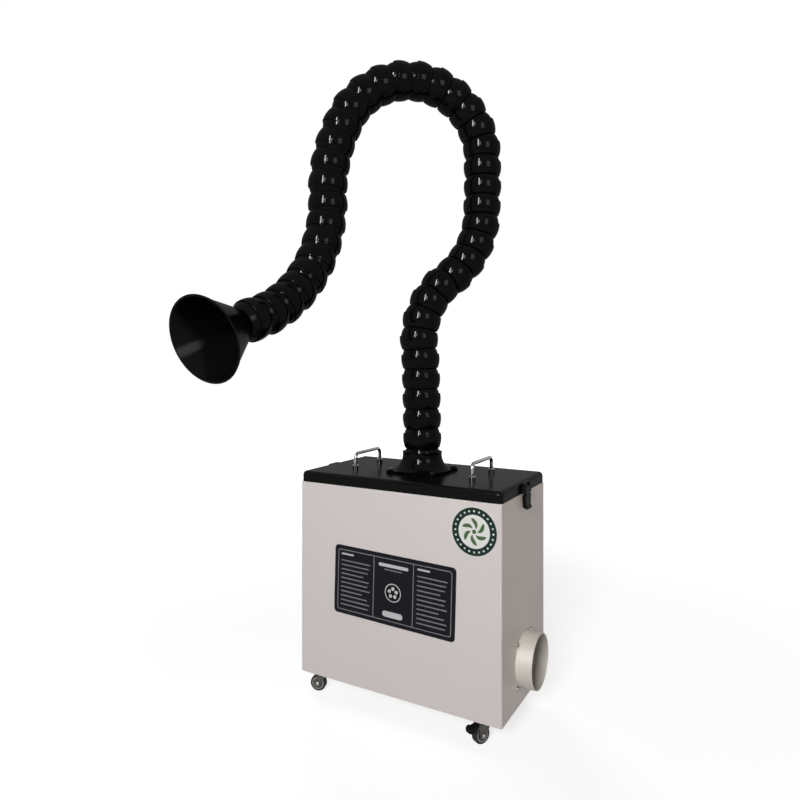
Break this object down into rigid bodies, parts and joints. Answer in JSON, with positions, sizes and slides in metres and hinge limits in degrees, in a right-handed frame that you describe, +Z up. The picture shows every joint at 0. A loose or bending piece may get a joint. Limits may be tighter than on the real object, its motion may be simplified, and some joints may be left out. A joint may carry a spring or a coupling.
{
  "type": "portable fume extractor",
  "caption": "Wheeled sheet-steel filter cabinet with a side outlet, bow handles and latches on a lift-off lid, and a black ball-and-socket arm that ends in a conical fume hood.",
  "frame": {"origin": "on the floor under the middle of the cabinet", "axes": "+X along the front to the outlet end, +Y from the front to the back, +Z up"},
  "size_m": [0.4863, 0.5832, 1.2742],
  "materials": {
    "cabinet_paint": "off-white powder coat, fine texture, satin",
    "lid_paint": "black stove enamel, semi-gloss",
    "galvanised_steel": "galvanised sheet",
    "zinc_steel": "zinc plated",
    "caster_steel": "zinc plated, dull",
    "black_bolts": "blackened steel",
    "chrome": "polished chrome",
    "arm_plastic": "black moulded plastic, glossy",
    "latch_plastic": "black moulded plastic, satin",
    "control_plastic": "black moulded plastic",
    "rocker_plastic": "black moulded plastic, glossy",
    "motor_casting": "cast and machined",
    "impeller_metal": "sheet aluminium",
    "seal_foam": "closed-cell foam",
    "filter_fabric": "non-woven mat",
    "filter_frame": "pleated paper in a board frame",
    "carbon_frame": "carbon granules in a board frame",
    "wheel_hub": "grey moulded plastic",
    "tyre_rubber": "black rubber",
    "pedal_plastic": "black moulded plastic"
  },
  "bodies": {
    "cabinet": {"cabinet_shell": "cabinet_paint", "base_pan": "cabinet_paint", "fan_deck": "galvanised_steel", "lid_gasket": "seal_foam", "carbon_filter": "carbon_frame", "particle_filter": "filter_frame", "prefilter_mat": "filter_fabric", "inlet_ring": "galvanised_steel", "fan_motor": "motor_casting", "motor_bracket": "galvanised_steel", "outlet_collar": "cabinet_paint", "outlet_screws": "zinc_steel", "power_inlet": "control_plastic", "switch_bezel": "control_plastic", "speed_control": "control_plastic", "latch_keepers": "zinc_steel", "caster_plates": "zinc_steel"},
    "lid": {"lid": "lid_paint", "handle_left": "chrome", "handle_right": "chrome", "handle_ferrules": "chrome", "handle_screws": "zinc_steel", "latch_brackets": "latch_plastic", "latch_pins": "zinc_steel", "arm_base_flange": "arm_plastic", "flange_bolts": "black_bolts"},
    "impeller": {"fan_impeller": "impeller_metal"},
    "rocker": {"power_rocker": "rocker_plastic"},
    "knob": {"speed_knob": "control_plastic"},
    "latch_left": {"latch_lever_left": "latch_plastic"},
    "latch_right": {"latch_lever_right": "latch_plastic"},
    "swivel_front_left": {"caster_fork_front_left": "caster_steel"},
    "wheel_front_left": {"caster_hub_front_left": "wheel_hub", "caster_tyre_front_left": "tyre_rubber"},
    "swivel_front_right": {"caster_fork_front_right": "caster_steel"},
    "wheel_front_right": {"caster_hub_front_right": "wheel_hub", "caster_tyre_front_right": "tyre_rubber"},
    "pedal_front_right": {"brake_pedal_front_right": "pedal_plastic"},
    "swivel_rear_left": {"caster_fork_rear_left": "caster_steel"},
    "wheel_rear_left": {"caster_hub_rear_left": "wheel_hub", "caster_tyre_rear_left": "tyre_rubber"},
    "swivel_rear_right": {"caster_fork_rear_right": "caster_steel"},
    "wheel_rear_right": {"caster_hub_rear_right": "wheel_hub", "caster_tyre_rear_right": "tyre_rubber"},
    "pedal_rear_right": {"brake_pedal_rear_right": "pedal_plastic"},
    "arm_01": {"arm_links_01": "arm_plastic"},
    "arm_02": {"arm_links_02": "arm_plastic"},
    "arm_03": {"arm_links_03": "arm_plastic"},
    "arm_04": {"arm_links_04": "arm_plastic"},
    "arm_05": {"arm_links_05": "arm_plastic"},
    "arm_06": {"arm_links_06": "arm_plastic"},
    "arm_07": {"arm_links_07": "arm_plastic"},
    "arm_08": {"arm_links_08": "arm_plastic"},
    "arm_09": {"arm_links_09": "arm_plastic"},
    "arm_10": {"arm_links_10": "arm_plastic"},
    "arm_11": {"arm_links_11": "arm_plastic"},
    "arm_12": {"arm_links_12": "arm_plastic"},
    "arm_13": {"arm_links_13": "arm_plastic"},
    "hood": {"hood": "arm_plastic"}
  },
  "joints": [
    {"name": "lid_lift", "type": "slide", "parent": "cabinet", "child": "lid", "axis": [0, 0, 1], "range_m": [0, 0.15]},
    {"name": "impeller_spin", "type": "hinge", "parent": "cabinet", "child": "impeller", "pos_m": [-0.035, 0, 0.1425], "axis": [0, 0, 1], "continuous": true},
    {"name": "power_switch", "type": "hinge", "parent": "cabinet", "child": "rocker", "pos_m": [-0.15, 0.118, 0.138], "axis": [-1, 0, 0], "range_deg": [0, 14]},
    {"name": "speed_turn", "type": "hinge", "parent": "cabinet", "child": "knob", "pos_m": [-0.15, 0.118, 0.173], "axis": [0, -1, 0], "range_deg": [0, 270]},
    {"name": "latch_right_swing", "type": "hinge", "parent": "lid", "child": "latch_right", "pos_m": [0.2192, 0, 0.4365], "axis": [0, -1, 0], "range_deg": [0, 110]},
    {"name": "latch_left_swing", "type": "hinge", "parent": "lid", "child": "latch_left", "pos_m": [-0.2192, 0, 0.4365], "axis": [0, 1, 0], "range_deg": [0, 110]},
    {"name": "swivel_turn_front_left", "type": "hinge", "parent": "cabinet", "child": "swivel_front_left", "pos_m": [-0.176, -0.091, 0.0377], "axis": [0, 0, 1], "continuous": true},
    {"name": "wheel_roll_front_left", "type": "hinge", "parent": "swivel_front_left", "child": "wheel_front_left", "pos_m": [-0.18843, -0.0948, 0.016], "axis": [0.2924, -0.9563, 0], "continuous": true},
    {"name": "swivel_turn_front_right", "type": "hinge", "parent": "cabinet", "child": "swivel_front_right", "pos_m": [0.176, -0.091, 0.0377], "axis": [0, 0, 1], "continuous": true},
    {"name": "wheel_roll_front_right", "type": "hinge", "parent": "swivel_front_right", "child": "wheel_front_right", "pos_m": [0.1697, -0.10237, 0.016], "axis": [0.8746, -0.4848, 0], "continuous": true},
    {"name": "brake_press_front_right", "type": "hinge", "parent": "swivel_front_right", "child": "pedal_front_right", "pos_m": [0.16752, -0.10631, 0.0344], "axis": [0.8746, -0.4848, 0], "range_deg": [0, 21]},
    {"name": "swivel_turn_rear_left", "type": "hinge", "parent": "cabinet", "child": "swivel_rear_left", "pos_m": [-0.176, 0.091, 0.0377], "axis": [0, 0, 1], "continuous": true},
    {"name": "wheel_roll_rear_left", "type": "hinge", "parent": "swivel_rear_left", "child": "wheel_rear_left", "pos_m": [-0.18726, 0.0975, 0.016], "axis": [-0.5, -0.866, 0], "continuous": true},
    {"name": "swivel_turn_rear_right", "type": "hinge", "parent": "cabinet", "child": "swivel_rear_right", "pos_m": [0.176, 0.091, 0.0377], "axis": [0, 0, 1], "continuous": true},
    {"name": "wheel_roll_rear_right", "type": "hinge", "parent": "swivel_rear_right", "child": "wheel_rear_right", "pos_m": [0.16535, 0.08354, 0.016], "axis": [0.5736, -0.8192, 0], "continuous": true},
    {"name": "brake_press_rear_right", "type": "hinge", "parent": "swivel_rear_right", "child": "pedal_rear_right", "pos_m": [0.16167, 0.08096, 0.0344], "axis": [0.5736, -0.8192, 0], "range_deg": [0, 21]},
    {"name": "arm_swivel", "type": "hinge", "parent": "lid", "child": "arm_01", "pos_m": [0, 0, 0.478], "axis": [0, 0, 1], "continuous": true},
    {"name": "arm_bend_01", "type": "hinge", "parent": "arm_01", "child": "arm_02", "pos_m": [-0.0012, -0.00117, 0.59799], "axis": [0.7155, 0.6982, 0.0244], "range_deg": [-16, 16]},
    {"name": "arm_bend_02", "type": "hinge", "parent": "arm_02", "child": "arm_03", "pos_m": [-0.00529, -0.00517, 0.71782], "axis": [0.6984, -0.7157, 0], "range_deg": [-2, 30.5]},
    {"name": "arm_bend_03", "type": "hinge", "parent": "arm_03", "child": "arm_04", "pos_m": [0.02866, 0.02797, 0.82538], "axis": [0.5052, 0.493, -0.7083], "range_deg": [-8, 8]},
    {"name": "arm_bend_04", "type": "hinge", "parent": "arm_04", "child": "arm_05", "pos_m": [0.08303, 0.08103, 0.91592], "axis": [-0.6984, 0.7157, 0], "range_deg": [-4, 28.5]},
    {"name": "arm_bend_05", "type": "hinge", "parent": "arm_05", "child": "arm_06", "pos_m": [0.09318, 0.09093, 1.03436], "axis": [0.7157, 0.6984, -0.0096], "range_deg": [-16, 16]},
    {"name": "arm_bend_06", "type": "hinge", "parent": "arm_06", "child": "arm_07", "pos_m": [0.08303, 0.08102, 1.15239], "axis": [0.6984, -0.7157, 0], "range_deg": [-32, 0.5]},
    {"name": "arm_bend_07", "type": "hinge", "parent": "arm_07", "child": "arm_08", "pos_m": [0.01971, 0.01923, 1.22903], "axis": [0.2152, 0.21, 0.9537], "range_deg": [-5, 5]},
    {"name": "arm_bend_08", "type": "hinge", "parent": "arm_08", "child": "arm_09", "pos_m": [-0.06382, -0.06228, 1.21772], "axis": [0.6984, -0.7157, 0], "range_deg": [-31, 2]},
    {"name": "arm_bend_09", "type": "hinge", "parent": "arm_09", "child": "arm_10", "pos_m": [-0.11852, -0.11566, 1.12854], "axis": [-0.6598, -0.6438, 0.3875], "range_deg": [-15, 15]},
    {"name": "arm_bend_10", "type": "hinge", "parent": "arm_10", "child": "arm_11", "pos_m": [-0.13761, -0.13429, 1.01208], "axis": [0.6984, -0.7157, 0], "range_deg": [-23, 9.5]},
    {"name": "arm_bend_11", "type": "hinge", "parent": "arm_11", "child": "arm_12", "pos_m": [-0.13988, -0.15207, 0.8944], "axis": [-0.137, -0.9169, 0.3748], "range_deg": [-13.5, 13.5]},
    {"name": "arm_bend_12", "type": "hinge", "parent": "arm_12", "child": "arm_13", "pos_m": [-0.14969, -0.22026, 0.79733], "axis": [0.989, -0.1478, 0], "range_deg": [-7.5, 25]},
    {"name": "hood_tilt", "type": "hinge", "parent": "arm_13", "child": "hood", "pos_m": [-0.16486, -0.32432, 0.74155], "axis": [0.989, -0.1478, 0], "range_deg": [-15, 14.5]}
  ]
}
